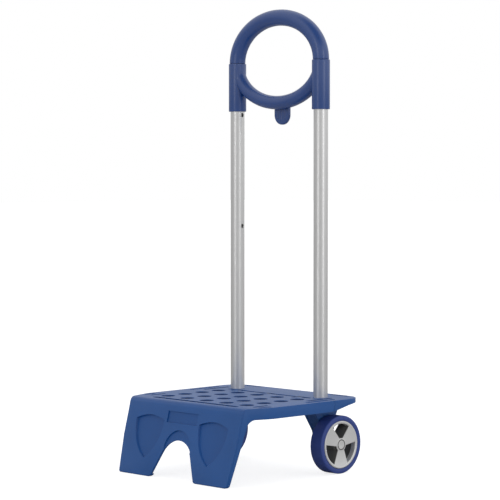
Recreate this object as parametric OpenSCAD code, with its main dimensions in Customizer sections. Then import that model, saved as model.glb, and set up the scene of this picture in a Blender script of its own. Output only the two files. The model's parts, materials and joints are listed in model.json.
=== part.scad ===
// Trolley with a folding moulded platform, two wheels and a ring handle on a telescopic mast.
// Millimetres. +X is the trolley's right-hand side, the platform reaches towards -Y, +Z is up.
// The origin is on the floor, midway between the wheels, straight below the wheel axis.

/* [Mast and handle tubes] */
// Outside diameter of the fixed mast tubes
mast_d = 22; // [20:0.5:27]
// Distance between the two mast tubes, centre to centre
mast_pitch = 181; // [150:1:220]
// Height of the upper end of the mast tubes
mast_top = 622; // [518:1:760]
// Wall of the mast tubes and of the inner tubes
tube_wall = 1.5; // [1.2:0.1:2]
// Outside diameter of the inner tubes that slide in the mast
inner_d = 16; // [13:0.5:16.5]
// Height of the lower end of the inner tubes, handle pushed in
inner_low = 207; // [180:1:240]
// Height of the snap buttons, handle pushed in
button_z = 195.5; // [170:0.5:200]
// Distance between two latching heights of the handle
latch_step = 174.5; // [140:0.5:180]
// Diameter of the latching holes
latch_hole_d = 6.5; // [5:0.1:7.8]

/* [Hand ring] */
// Outside diameter of the collars on the mast tubes
collar_d = 27.5; // [26.5:0.5:34]
// Length of the collars
collar_h = 75; // [60:1:90]
// Diameter of the grip, the upper half of the ring
grip_d = 25; // [21:0.5:28]
// Rise of the grip's centreline above the collars
grip_rise = 67.5; // [58:0.5:85]
// Diameter of the lower half of the ring
arch_d = 21; // [17:0.5:25]
// Drop of the lower half's centreline below the top of the collars
arch_drop = 62.3; // [54:0.5:70]

/* [Strap lever] */
// Width of the lever
lever_w = 31; // [25:1:40]
// Thickness of the lever
lever_t = 5.5; // [4:0.5:7]
// Distance from the lever's pin to its lower tip
lever_l = 36; // [30:1:48]
// Diameter of the lever's pin
lever_pin_d = 3; // [2.5:0.5:4]

/* [Platform] */
// How far the platform's upper face lies above the wheels' tops
deck_over_wheels = 24.6; // [16:0.1:48]
// Height of the skirt round the platform
skirt_h = 16.5; // [16:0.5:22]
// Thickness of the top plate
plate_t = 4; // [3.5:0.5:5]
// Thickness of the skirt and the ribs' outer frame
skirt_t = 4; // [3:0.5:5]
// Width across the rear
rear_w = 280; // [233:1:336]
// Width across the kink in the sides
kink_w = 274; // [228:1:330]
// Width across the front edge
front_w = 244; // [203:1:293]
// Distance from the wheel axis forward to the front edge
front_reach = 196; // [180:1:236]
// Distance from the front edge back to the kink
kink_back = 46; // [30:1:60]
// Distance from the wheel axis back to the rear edge
rear_reach = 45; // [38:1:54]
// Diameter of the drain holes
drain_d = 22; // [16:1:26]
// Spacing of the drain holes across the platform
drain_dx = 43; // [36:1:46]
// Spacing of the drain holes along the platform
drain_dy = 35.5; // [30:0.5:38]

/* [Foot] */
// How far the foot's lower edge stands in front of its upper edge
foot_rake = 30; // [20:1:40]
// Width of the foot at the floor
foot_w = 232; // [220:1:260]
// Depth of the foot's side flanges, under the platform
flange = 14; // [11:1:23]
// Depth of the foot's side flanges, at the floor
flange_low = 7.5; // [6.5:0.5:12]
// Wall of the foot
foot_t = 4.5; // [4:0.5:6]
// Width of the cut-out at the floor
cut_w = 96; // [80:1:110]
// Radius of the cut-out's round top
cut_r = 34; // [28:1:37]
// Height of the cut-out
cut_h = 57; // [48:1:62]

/* [Fold] */
// Distance of the fold's seam in front of the wheel axis
seam_y = 21; // [19:0.5:26]
// Depth of the hinge axis below the platform's upper face
axis_drop = 5; // [4.5:0.5:7]
// Diameter of the hinge pin
hinge_pin_d = 5; // [4:0.5:6]
// Width of a hinge lug
lug_w = 12; // [8:1:16]
// Distance of the outer lugs from the middle
lug_x = 66; // [50:1:70]

/* [Wheels] */
// Diameter over the tyre
wheel_d = 88; // [73:0.1:106]
// Width of the tyre
tyre_w = 24.5; // [20:0.5:28]
// Radial height of the tyre
tyre_h = 7.6; // [6:0.2:9]
// Diameter of the stub axles
axle_d = 8; // [6:0.5:10]
// Diameter of the wheel's hub
hub_d = 22; // [20:1:26]
// Diameter of the button in the middle of the wheel cap
cap_button_d = 18.6; // [16:0.2:20]
// Angle of one spoke at the rim
spoke_a = 52; // [40:1:70]

/* [Fits] */
// Radial clearance of a running fit
running = 0.05; // [0.02:0.01:0.08]
// Gap between pieces that pass each other
gap = 0.4; // [0.3:0.05:0.6]

/* [Hidden] */
$fn = 64;
e = 1;

blue = [0.20, 0.27, 0.52];
dark_blue = [0.10, 0.20, 0.45];
alu = [0.72, 0.72, 0.73];
steel = [0.62, 0.63, 0.65];
silver = [0.80, 0.80, 0.80];
grey = [0.33, 0.33, 0.34];

deck_top = wheel_d + deck_over_wheels;

// Mast and handle
mast_x = mast_pitch / 2;
mast_bore = mast_d - 2 * tube_wall;
inner_bore = inner_d - 2 * tube_wall;
bush_flange = 3;
ring_z = mast_top + bush_flange;
collar_low = ring_z - collar_h;
ring_seam = 0.5;
socket_depth = 20;
inner_top = ring_z + ring_seam + socket_depth;
bush_l = 25;
guide_d = mast_bore - 2 * running;
guide_low = button_z - 12;
spigot_l = 25;
button_d = latch_hole_d - 0.5;
button_reach = guide_d / 2 - 0.2;
button_tail = 3;
button_travel = 1.5;
rivet_d = 3;
grip_rivet_z = ring_z + ring_seam + 9;

// Wheels and brackets
axle_z = wheel_d / 2;
bracket_out = mast_x + 17;
bracket_in = mast_x - 9.5;
bracket_wall = 4;
washer_t = 2.2;
hub_in = bracket_out + washer_t + 0.2;
tyre_in = bracket_out + 2.6;
tyre_out = tyre_in + tyre_w;
tyre_bore = wheel_d - 2 * tyre_h;
core_in = tyre_in + 1;
cap_seat = tyre_out - 2.6;
hub_out = cap_seat - 3.2;
rim_t = 3.4;
rim_bore = tyre_bore - 2 * rim_t;
bush_od = axle_d + 4;
retainer_t = 1.2;
retainer_d = axle_d + 5;
axle_in = bracket_in + 3;
axle_out = hub_out + 0.2 + retainer_t + 1;
boss_r = 11;
lip_t = 1.2;
lip_depth = 7;

// Platform and fold
skirt_low = deck_top - skirt_h;
axis_y = -seam_y - axis_drop;
axis_z = deck_top - axis_drop;
fold_r = axis_drop * sqrt(2);
lug_r = axis_drop;
lugs = [-lug_x, 0, lug_x];
hinge_beam = 13;
drain_y = -46;
pin_out = lug_x + lug_w / 2 + 8;
slot_w = 7;
slot_depth = 3.5;
groove_w = 6.5;
groove_depth = 3;
shelf_gap = 0.2;
rear_rise = 9;
socket_r = mast_d / 2 + 3.5;
socket_low = axle_z + boss_r + 13;
mast_foot = socket_low + 4;
bolt_d = 5;
bolt_room = 4.5;
bolt_z = mast_foot + 16;
screw_d = 4;
screw_z = collar_low + 22;

// Lever on the ring
lever_y = 9.25;
lever_z = ring_z - arch_drop + 1.5;
barrel_r = 4.6;
ear_r = 6;
ear_t = 4;

// Foot
cut_cz = cut_h - cut_r;
cut_phi = atan2(-cut_cz, cut_w / 2) + acos(cut_r / norm([cut_w / 2, cut_cz]));
rake = foot_rake / deck_top;

// --- outline helpers -------------------------------------------------------------------------

// Points of a fillet of radius r at corner b, between neighbours a and c
function fillet(a, b, c, r) = r <= 0 ? [b] :
    let (u = (a - b) / norm(a - b), v = (c - b) / norm(c - b),
         half = acos(u * v) / 2,
         centre = b + (u + v) / norm(u + v) * r / sin(half),
         s = b + u * r / tan(half) - centre,
         f = b + v * r / tan(half) - centre,
         a0 = atan2(s.y, s.x), raw = atan2(f.y, f.x) - a0,
         turn = raw > 180 ? raw - 360 : raw < -180 ? raw + 360 : raw,
         steps = max(2, ceil(abs(turn) / 10)))
    [for (i = [0:steps]) centre + r * [cos(a0 + turn * i / steps), sin(a0 + turn * i / steps)]];

// Outline through corners [x, y, fillet radius]
function rounded(p) = [for (i = [0:len(p) - 1])
    let (n = len(p), a = p[(i + n - 1) % n], b = p[i], c = p[(i + 1) % n])
    each fillet([a.x, a.y], [b.x, b.y], [c.x, c.y], b.z)];

// Points on an arc from a to b that bulges by sag to the right of the way
function bulge(a, b, sag, steps = 10) =
    let (chord = norm(b - a), r = (chord * chord / 4 + sag * sag) / (2 * sag),
         along = (b - a) / chord, out = [along.y, -along.x],
         centre = (a + b) / 2 + out * (sag - r), half = asin(chord / 2 / r))
    [for (i = [0:steps - 1]) let (t = half * (2 * i / steps - 1))
        centre + r * (out * cos(t) + along * sin(t))];

// The platform's outline, moved in by the given wall
function deck_outline(wall = 0) = let (fx = front_w / 2 - wall, kx = kink_w / 2 - wall,
        rx = rear_w / 2 - wall, ky = kink_back - front_reach, back = rear_reach - wall,
        front = wall - front_reach, soft = 31 - wall)
    rounded([[-fx, front, 5], [fx, front, 5], [kx, ky, 30], [rx, back, soft],
             [-rx, back, soft], [-kx, ky, 30]]);

// The foot's front view, with its arched cut-out
function foot_outline() =
    let (in_low = (cut_r + sin(cut_phi) * cut_cz) / cos(cut_phi), steps = 16,
         arch = [for (i = [0:steps]) let (t = cut_phi + (180 - 2 * cut_phi) * i / steps)
                 [cut_r * cos(t), cut_cz + cut_r * sin(t), 0]])
    rounded(concat([[-front_w / 2, deck_top, 0], [-foot_w / 2, 0, 4], [-in_low, 0, 4]],
                   [for (i = [0:steps]) arch[steps - i]],
                   [[in_low, 0, 4], [foot_w / 2, 0, 4], [front_w / 2, deck_top, 0]]));
// The room between the foot's side flanges, above its lower edge
function foot_room() = rounded([[foot_t - front_w / 2, deck_top, 0],
    [foot_t - foot_w / 2, foot_t, 2], [foot_w / 2 - foot_t, foot_t, 2],
    [front_w / 2 - foot_t, deck_top, 0]]);

// --- solid helpers ---------------------------------------------------------------------------

// Extrude a side view, drawn as [y, z], from x0 to x1
module side_view(x0, x1) translate([x0, 0, 0]) rotate([90, 0, 90]) linear_extrude(x1 - x0)
    children();
// Extrude a front view, drawn as [x, z], from y0 to y1
module front_view(y0, y1) translate([0, y1, 0]) rotate([90, 0, 0]) linear_extrude(y1 - y0)
    children();
module block(low, high) translate(low) cube(high - low);
// Cylinder along X through [y, z], from x0 to x1
module x_rod(x0, x1, y, z, r) translate([x0, y, z]) rotate([0, 90, 0]) cylinder(r = r, h = x1 - x0);
// Cylinder along Y through [x, z], from y0 to y1
module y_rod(y0, y1, x, z, r) translate([x, y1, z]) rotate([90, 0, 0]) cylinder(r = r, h = y1 - y0);
// Piece for the left side, as the mirror image of the right one
module on_side(side) if (side < 0) mirror([1, 0, 0]) children(); else children();
module tube(d, bore, z0, z1) translate([0, 0, z0]) difference() {
    cylinder(d = d, h = z1 - z0);
    translate([0, 0, -e]) cylinder(d = bore, h = z1 - z0 + 2 * e);
}

// Half ring of round section in the XZ plane, along a half ellipse that stands on z = 0
module arch(half_span, rise, d) {
    sides = 28;
    rings = 44;
    points = [for (i = [0:rings]) let (t = 180 * i / rings,
                  out = [rise * cos(t), half_span * sin(t)] / norm([rise * cos(t), half_span * sin(t)]))
        for (j = [0:sides - 1]) let (w = 360 * j / sides, q = d / 2 * cos(w))
            [half_span * cos(t) + q * out.x, d / 2 * sin(w), rise * sin(t) + q * out.y]];
    polyhedron(points, tube_faces(sides, rings), convexity = 6);
}

// Faces of a tube swept through rings of points, closed at both ends
function tube_faces(sides, rings) = concat(
    [for (i = [0:rings - 1]) for (j = [0:sides - 1]) let (k = (j + 1) % sides)
        [i * sides + j, (i + 1) * sides + j, (i + 1) * sides + k, i * sides + k]],
    [[for (j = [0:sides - 1]) j], [for (j = [sides - 1:-1:0]) rings * sides + j]]);

// Helical spring along Z of the given mean radius, wire and height
module coil(radius, wire, height, turns) {
    sides = 6;
    rings = ceil(turns * 12);
    points = [for (i = [0:rings]) let (t = 360 * turns * i / rings, z = height * i / rings)
        for (j = [0:sides - 1]) let (w = 360 * j / sides, q = radius + wire / 2 * cos(w))
            [q * cos(t), q * sin(t), z + wire / 2 * sin(w)]];
    polyhedron(points, tube_faces(sides, rings), convexity = 6);
}

// --- mast and ring ---------------------------------------------------------------------------

module mast_tube(side) color(alu) on_side(side) translate([mast_x, 0, 0]) difference() {
    tube(mast_d, mast_bore, mast_foot, mast_top);
    for (i = [1, 2]) rotate([0, -90, 0]) translate([button_z + i * latch_step, 0, 0])
        cylinder(d = latch_hole_d, h = mast_d);
    y_rod(-mast_d, mast_d, 0, bolt_z, bolt_d / 2);
    y_rod(0, mast_d, 0, screw_z, screw_d / 2);
}

module tube_bush(side) color(grey) on_side(side) translate([mast_x, 0, 0]) difference() {
    union() {
        translate([0, 0, mast_top - bush_l]) cylinder(d = mast_bore, h = bush_l);
        translate([0, 0, mast_top]) cylinder(d = mast_d, h = bush_flange);
    }
    translate([0, 0, mast_top - bush_l - e])
        cylinder(d = inner_d + 2 * running, h = bush_l + bush_flange + 2 * e);
}

module ring_yoke() color(blue) difference() {
    union() {
        translate([0, 0, ring_z]) mirror([0, 0, 1]) arch(mast_x, arch_drop, arch_d);
        for (s = [-1, 1]) translate([s * mast_x, 0, collar_low])
            cylinder(d = collar_d, h = collar_h);
        for (s = [-1, 1]) x_rod(s * (lever_w / 2 + gap + ear_t / 2) - ear_t / 2,
            s * (lever_w / 2 + gap + ear_t / 2) + ear_t / 2, lever_y, lever_z, ear_r);
    }
    for (s = [-1, 1]) translate([s * mast_x, 0, collar_low - e])
        cylinder(d = mast_d, h = collar_h + 2 * e);
    for (s = [-1, 1]) y_rod(0, collar_d, s * mast_x, screw_z, screw_d / 2);
    x_rod(-lever_w, lever_w, lever_y, lever_z, lever_pin_d / 2);
    x_rod(-lever_w / 2 - gap, lever_w / 2 + gap, lever_y, lever_z, barrel_r + gap);
    block([-lever_w / 2 - gap, lever_y - lever_t / 2 - gap, collar_low - lever_l],
          [lever_w / 2 + gap, collar_d, lever_z]);
}

module collar_screws() color(steel) for (s = [-1, 1]) {
    y_rod(mast_bore / 2 - 0.5, collar_d / 2, s * mast_x, screw_z, screw_d / 2);
    difference() {
        y_rod(collar_d / 2, collar_d / 2 + 2.2, s * mast_x, screw_z, screw_d);
        y_rod(collar_d / 2 + 0.8, collar_d, s * mast_x, screw_z, screw_d / 3);
    }
}

module mast_bolts() color(steel) for (s = [-1, 1]) {
    y_rod(-socket_r, socket_r, s * mast_x, bolt_z, bolt_d / 2);
    y_rod(-socket_r - 2.5, -socket_r, s * mast_x, bolt_z, bolt_d * 0.85);
    difference() {
        y_rod(socket_r, socket_r + 2.5, s * mast_x, bolt_z, bolt_d * 0.85);
        y_rod(socket_r + 1, socket_r + 4, s * mast_x, bolt_z, bolt_d * 0.35);
    }
}

// --- strap lever -----------------------------------------------------------------------------

module strap_lever() color(blue) difference() {
    tip_z = lever_z - lever_l + lever_w / 2;
    union() {
        x_rod(-lever_w / 2, lever_w / 2, lever_y, lever_z, barrel_r);
        block([-lever_w / 2, lever_y - lever_t / 2, tip_z],
              [lever_w / 2, lever_y + lever_t / 2, lever_z]);
        y_rod(lever_y - lever_t / 2, lever_y + lever_t / 2, 0, tip_z, lever_w / 2);
    }
    x_rod(-lever_w, lever_w, lever_y, lever_z, lever_pin_d / 2 + running);
    for (i = [-1:1]) front_view(lever_y - lever_t, lever_y - lever_t / 2 + 1.2)
        polygon(rounded([for (c = [[-1, 0], [1, 0], [1, 1], [-1, 1]])
            [i * lever_w / 4.2 + c.x * 1.7, c.y * 24 + tip_z - 9.5 + 2.5 * abs(i), 1.6]]));
    // room for the spring's coil round the pin
    block([-5, lever_y - ear_r, lever_z - 4], [5, lever_y + ear_r, lever_z + ear_r]);
}

module lever_pin() color(steel)
    x_rod(-lever_w / 2 - gap - ear_t, lever_w / 2 + gap + ear_t, lever_y, lever_z, lever_pin_d / 2);

module lever_spring() color(steel) translate([-4, lever_y, lever_z]) rotate([0, 90, 0])
    coil(lever_pin_d / 2 + 0.9, 0.8, 8, 6);

// --- telescopic handle -----------------------------------------------------------------------

module grip() color(blue) difference() {
    translate([0, 0, ring_z + ring_seam]) arch(mast_x, grip_rise, grip_d);
    for (s = [-1, 1]) translate([s * mast_x, 0, ring_z - e])
        cylinder(d = inner_d, h = socket_depth + ring_seam + e);
    for (s = [-1, 1]) y_rod(-grip_d, grip_d, s * mast_x, grip_rivet_z, rivet_d / 2);
}

module inner_tube(side) color(alu) on_side(side) translate([mast_x, 0, 0]) difference() {
    tube(inner_d, inner_bore, inner_low, inner_top);
    y_rod(-inner_d, inner_d, 0, grip_rivet_z, rivet_d / 2);
    y_rod(-inner_d, inner_d, 0, inner_low + spigot_l / 2, rivet_d / 2);
}

module grip_rivets() color(steel) for (s = [-1, 1])
    y_rod(-grip_d / 2 + 0.6, grip_d / 2 - 0.6, s * mast_x, grip_rivet_z, rivet_d / 2);

module guide_rivets() color(steel) for (s = [-1, 1])
    y_rod(-inner_d / 2 - 0.6, inner_d / 2 + 0.6, s * mast_x, inner_low + spigot_l / 2, rivet_d / 2);

module tube_guide(side) color(grey) on_side(side) translate([mast_x, 0, 0]) difference() {
    union() {
        translate([0, 0, guide_low]) cylinder(d = guide_d, h = inner_low - guide_low);
        translate([0, 0, inner_low]) cylinder(d = inner_bore, h = spigot_l);
    }
    x_rod(-guide_d, button_tail + button_travel, 0, button_z, button_d / 2 + running);
    y_rod(-inner_d, inner_d, 0, inner_low + spigot_l / 2, rivet_d / 2);
}

// A hollow button with a round nose, pointing at the trolley's middle
module snap_button(side) color(steel) on_side(side) translate([mast_x, 0, button_z])
    rotate([0, -90, 0]) difference() {
        union() {
            translate([0, 0, -button_tail]) cylinder(d = button_d, h = button_reach + button_tail - 2);
            intersection() {
                translate([0, 0, button_reach - 4.5]) sphere(r = 4.5);
                translate([0, 0, button_reach - 2]) cylinder(d = button_d, h = 2);
            }
        }
        translate([0, 0, -button_tail - e]) cylinder(d = button_d - 2, h = button_reach + e);
    }

module button_spring(side) color(steel) on_side(side)
    translate([mast_x + button_tail + button_travel - 0.4, 0, button_z]) rotate([0, -90, 0])
        coil(button_d / 2 - 1.6, 0.6, button_reach - 1.5, 6);

// --- platform --------------------------------------------------------------------------------

// Hollow platform between two planes across the trolley, open below
module deck_shell(y0, y1) intersection() {
    difference() {
        translate([0, 0, skirt_low]) linear_extrude(skirt_h) polygon(deck_outline());
        translate([0, 0, skirt_low - e]) linear_extrude(skirt_h - plate_t + e)
            polygon(deck_outline(skirt_t));
    }
    block([-rear_w, y0, skirt_low], [rear_w, y1, deck_top]);
}

// Shallow groove in the upper face, with round ends, from one point to another
module groove(p, q, w, depth) translate([0, 0, deck_top - depth]) {
    l = norm(q - p);
    translate(p) rotate([0, 0, atan2(q.y - p.y, q.x - p.x)]) {
        translate([0, -w / 2, 0]) cube([l, w, depth + e]);
        for (x = [0, l]) translate([x, 0, 0]) cylinder(d = w, h = depth + e, $fn = 24);
    }
}

module top_grooves() for (s = [-1, 1]) {
    groove([s * (rear_w / 2 - 28), -50], [s * (rear_w / 2 - 28), 0], groove_w, groove_depth);
    groove([s * (rear_w / 2 - 14), -66], [s * (rear_w / 2 - 14), -10], groove_w, groove_depth);
    groove([s * (kink_w / 2 - 25), -162], [s * (kink_w / 2 - 25), -140], groove_w, groove_depth);
    groove([s * (kink_w / 2 - 13), -164], [s * (kink_w / 2 - 11), -146], groove_w, groove_depth);
    groove([s * 75, rear_reach - 7], [s * (rear_w / 2 - 28), rear_reach - 8], 5, groove_depth);
}

// The long slot that runs along the fold's seam
module seam_slot() block([-mast_x + 3, 1 - seam_y - slot_w / 2, deck_top - slot_depth],
                         [mast_x - 3, 1 - seam_y + slot_w / 2, deck_top + e]);

// Space round the hinge axis in which the platform's rear edge turns
module fold_room(x0, x1) x_rod(x0, x1, axis_y, axis_z, fold_r + gap * 0.75);

// Side view of a wheel bracket above its axle boss: a long sloping front and a short rear
module bracket_outline() polygon(rounded([[-32, skirt_low - shelf_gap, 0],
    [-8, axle_z + 15.6, 5], [-7.6, axle_z - 3, 0], [7.6, axle_z - 3, 0], [16, skirt_low - 12, 8],
    [20.5, skirt_low - 3, 4], [28, skirt_low + rear_rise, 0], [28, deck_top - 2, 0],
    [3 - seam_y, deck_top - 2, 0], [3 - seam_y, skirt_low - shelf_gap, 0]]));

module wheel_bracket() {
    // two side walls with the mast socket between them
    for (x = [bracket_in, bracket_out - bracket_wall]) side_view(x, x + bracket_wall) bracket_outline();
    translate([mast_x, 0, socket_low]) cylinder(r = socket_r, h = deck_top - socket_low - e);
    x_rod(bracket_in, bracket_out, 0, axle_z, boss_r);
    // sloping front wall, and the shelf under the folding platform
    side_view(bracket_in + 1, bracket_out - 1) polygon([[-31.2, skirt_low - shelf_gap],
        [2 - seam_y, skirt_low - shelf_gap], [2 - seam_y, skirt_low - 4], [-25.5, skirt_low - 4],
        [-3.8, axle_z + 16.6], [-3.8, axle_z + 6], [-7.3, axle_z + 6], [-7.3, axle_z + 15.8]]);
}

module rear_frame() color(dark_blue) difference() {
    union() {
        difference() {
            union() {
                deck_shell(gap - seam_y, rear_reach);
                intersection() {
                    block([-rear_w, gap - seam_y, skirt_low],
                          [rear_w, gap - seam_y + 10, deck_top - e / 2]);
                    translate([0, 0, skirt_low]) linear_extrude(skirt_h) polygon(deck_outline(1));
                }
                // ribs from the mast sockets to the rear wall, and one across
                for (s = [-1, 1]) for (x = [mast_x - 20, mast_x + 20])
                    block([s * x - 1.5, 8 - seam_y, skirt_low],
                          [s * x + 1.5, rear_reach - 2, deck_top - e]);
                block([-mast_x, -2, skirt_low], [mast_x, 1, deck_top - e]);
            }
            // the underside rises from the fold to the rear edge
            side_view(-rear_w, rear_w) polygon([[-seam_y, skirt_low - e], [-seam_y, skirt_low],
                [18, skirt_low + rear_rise], [rear_reach + e, skirt_low + rear_rise + 1],
                [rear_reach + e, skirt_low - e]]);
        }
        for (x = lugs) {
            x_rod(x - lug_w / 2, x + lug_w / 2, axis_y, axis_z, lug_r);
            block([x - lug_w / 2, axis_y, axis_z - lug_r], [x + lug_w / 2, 5 - seam_y, deck_top]);
        }
        for (s = [-1, 1]) on_side(s) wheel_bracket();
    }
    for (s = [-1, 1]) {
        translate([s * mast_x, 0, mast_foot]) cylinder(d = mast_d, h = deck_top);
        translate([s * mast_x, 0, socket_low - e]) cylinder(d = inner_bore, h = 10);
        y_rod(-socket_r - e, socket_r + e, s * mast_x, bolt_z, bolt_d / 2);
        for (y = [-socket_r - bolt_room, socket_r])
            y_rod(y, y + bolt_room, s * mast_x, bolt_z, bolt_d * 0.85 + 0.5);
    }
    for (s = [-1, 1]) on_side(s) x_rod(axle_in, bracket_out + e, 0, axle_z, axle_d / 2);
    // the hinge's room, left standing at the lugs
    difference() {
        fold_room(-rear_w, rear_w);
        for (x = lugs)
            block([x - lug_w / 2, -rear_reach * 2, axis_z - lug_r], [x + lug_w / 2, 0, deck_top]);
    }
    x_rod(-pin_out - 2, pin_out, axis_y, axis_z, hinge_pin_d / 2);
    difference() {
        seam_slot();
        for (x = lugs) block([x - lug_w / 2, -rear_reach * 2, 0], [x + lug_w / 2, 0, deck_top + 2 * e]);
    }
    top_grooves();
}

module hinge_pin() color(steel) x_rod(-pin_out, pin_out, axis_y, axis_z, hinge_pin_d / 2);

// Strip of the foot's side view, between two distances behind its front face
function foot_side(a, b) = [[a - front_reach, deck_top], [a - front_reach - foot_rake, 0],
    [b - front_reach - foot_rake, 0], [b - front_reach, deck_top]];

// Leaf-shaped panel on one side of the foot's front
module leaf_outline(s) {
    low = [69, 24];
    inner = [37, 83];
    outer = [102, 82];
    peak = [69, 90.5];
    scale([s, 1]) polygon(concat(bulge(low, outer, 10), bulge(outer, peak, 1.5),
                                 bulge(peak, inner, 1.5), bulge(inner, low, 10)));
}

module foot() difference() {
    // front wall and its flanges
    intersection() {
        front_view(-front_reach - foot_rake - e, 0) polygon(foot_outline());
        side_view(-front_w, front_w) polygon(rounded([[-front_reach, deck_top, 0],
            [-front_reach - foot_rake, 0, 2], [flange_low - front_reach - foot_rake, 0, 2],
            [flange - front_reach - rake * skirt_h, skirt_low, 10],
            [flange - front_reach + 14, skirt_low, 0], [flange - front_reach + 14, deck_top, 0]]));
    }
    // hollow behind the front wall
    intersection() {
        front_view(-front_reach - foot_rake, 0) polygon(foot_room());
        side_view(-front_w, front_w) polygon([[foot_t - front_reach, deck_top - plate_t],
            [foot_t - front_reach - foot_rake, -e], [e, -e], [e, deck_top - plate_t]]);
    }
    // leaf panels, badge panel and the arch above the cut-out
    intersection() {
        side_view(-front_w, front_w) polygon(foot_side(-foot_t, 2));
        front_view(-front_reach - foot_rake - e, 0) for (s = [-1, 1]) leaf_outline(s);
    }
    intersection() {
        side_view(-front_w, front_w) polygon(foot_side(-foot_t, 1));
        front_view(-front_reach - foot_rake - e, 0) {
            translate([-33, 81.5]) square([66, 17]);
            translate([0, 43]) circle(r = 30);
        }
    }
}

module deck() color(blue) difference() {
    union() {
        difference() {
            deck_shell(-front_reach, -seam_y);
            intersection() {
                front_view(-front_reach - foot_rake, skirt_t - front_reach + e)
                    polygon(foot_room());
                block([-front_w, -front_reach - e, 0],
                      [front_w, foot_t - front_reach + e, deck_top - plate_t]);
            }
        }
        foot();
        // hinge beam, with its rear edge round the axis
        intersection() {
            union() {
                block([-rear_w, -seam_y - hinge_beam, skirt_low], [rear_w, -seam_y, deck_top - e / 2]);
                x_rod(-rear_w, rear_w, axis_y, axis_z, fold_r - gap / 4);
            }
            block([-rear_w, -seam_y - hinge_beam, skirt_low], [rear_w, seam_y, deck_top]);
            translate([0, 0, skirt_low]) linear_extrude(skirt_h) polygon(deck_outline(1));
        }
        // ribs between the rows and columns of holes
        for (i = [-2:1]) block([(i + 0.5) * drain_dx - 1.25, 2 - front_reach, skirt_low + 2],
            [(i + 0.5) * drain_dx + 1.25, -seam_y - 2, deck_top - e]);
        for (j = [0:3]) block([2 - front_w / 2, drain_y - (j + 0.5) * drain_dy - 1.25, skirt_low + 2],
            [front_w / 2 - 2, drain_y - (j + 0.5) * drain_dy + 1.25, deck_top - e]);
    }
    for (i = [-2:2]) for (j = [0:3]) translate([i * drain_dx, drain_y - j * drain_dy, skirt_low - e])
        cylinder(d = drain_d, h = skirt_h + 2 * e);
    // room for the rear lower edge to swing past the shelves of the brackets
    side_view(-bracket_out - 1, bracket_out + 1) polygon([[axis_y, skirt_low - e], [axis_y, skirt_low],
        [e - seam_y, skirt_low + 4.8], [e - seam_y, skirt_low - e]]);
    for (x = lugs) block([x - lug_w / 2 - gap, axis_y - axis_drop - 2.5, skirt_low - e],
        [x + lug_w / 2 + gap, 0, deck_top + e]);
    x_rod(-pin_out - 0.5, pin_out + 0.5, axis_y, axis_z, hinge_pin_d / 2 + running);
    x_rod(-rear_w, -pin_out, axis_y, axis_z, hinge_pin_d / 2 + running);
    seam_slot();
    groove([3 - mast_x, -177], [mast_x - 3, -177], 8, groove_depth);
    top_grooves();
    // rounded front edge
    side_view(-rear_w, rear_w) difference() {
        translate([-front_reach - e, deck_top - 6]) square([6 + e, 6 + e]);
        translate([6 - front_reach, deck_top - 6]) circle(r = 6);
    }
}

// --- wheels ----------------------------------------------------------------------------------

// Turn a profile drawn as [radius, x] about the wheel axis of the right wheel
module wheel_turn() translate([0, 0, axle_z]) rotate([0, 90, 0]) rotate_extrude() children();

module tyre(side) color(blue) on_side(side) wheel_turn() polygon(rounded([
    [tyre_bore / 2, tyre_in + 1, 0.8], [wheel_d / 2 - 1.5, tyre_in, 1],
    [wheel_d / 2, tyre_in + 1.5, 1.5], [wheel_d / 2, tyre_out - 1.5, 1.5],
    [wheel_d / 2 - 1.5, tyre_out, 1], [tyre_bore / 2, tyre_out - 1.5, 0.8]]));

// Wedge-shaped spokes, drawn in the wheel's plane: one down, two up
module spokes(root, tip) for (k = [0:2]) rotate(90 + 120 * k) {
    a = spoke_a / 2;
    polygon(concat([[0, -root / 3]], [for (i = [-2:2]) tip * [cos(a * i / 2), sin(a * i / 2)]],
                   [[0, root / 3]]));
}

// Flat shape in the wheel's plane, drawn as [y, z] about the axis, from x0 to x1
module wheel_slice(x0, x1) translate([x0, 0, axle_z]) rotate([90, 0, 90]) linear_extrude(x1 - x0)
    children();

module wheel_core(side) color(grey) on_side(side) difference() {
    union() {
        wheel_turn() translate([rim_bore / 2, core_in]) square([rim_t, cap_seat - core_in]);
        x_rod(hub_in, hub_out, 0, axle_z, hub_d / 2);
        wheel_slice(core_in + 1, cap_seat) difference() {
            mirror([0, 1]) spokes(hub_d / 3, rim_bore / 2 + 1);
            circle(d = hub_d - 2);
        }
    }
    x_rod(hub_in - e, hub_out + e, 0, axle_z, bush_od / 2);
    // room for the cap's lip where it passes the spokes
    wheel_turn() translate([rim_bore / 2 - lip_t - 0.2, cap_seat - lip_depth - 0.2])
        square([lip_t + 0.3, lip_depth + e]);
}

module wheel_bush(side) color(silver) on_side(side) difference() {
    x_rod(hub_in, hub_out, 0, axle_z, bush_od / 2);
    x_rod(hub_in - e, hub_out + e, 0, axle_z, axle_d / 2 + running);
}

module wheel_cap(side) color(silver) on_side(side) {
    difference() {
        union() {
            wheel_turn() translate([rim_bore / 2 - lip_t, cap_seat]) square([rim_t + lip_t - 0.4, 2]);
            wheel_turn() translate([rim_bore / 2 - lip_t, cap_seat - lip_depth])
                square([lip_t - 0.1, lip_depth + 1]);
            wheel_slice(cap_seat, cap_seat + 1.6) mirror([0, 1]) spokes(hub_d / 3, rim_bore / 2 + 1);
            x_rod(cap_seat, cap_seat + 2.2, 0, axle_z, cap_button_d / 2 + 2);
        }
        x_rod(cap_seat - e, cap_seat + 1, 0, axle_z, retainer_d / 2 + 1);
        wheel_turn() translate([cap_button_d / 2 - 0.8, cap_seat + 1.4]) square([0.8, 2]);
    }
}

module stub_axle(side) color(steel) on_side(side) x_rod(axle_in, axle_out, 0, axle_z, axle_d / 2);

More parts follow.
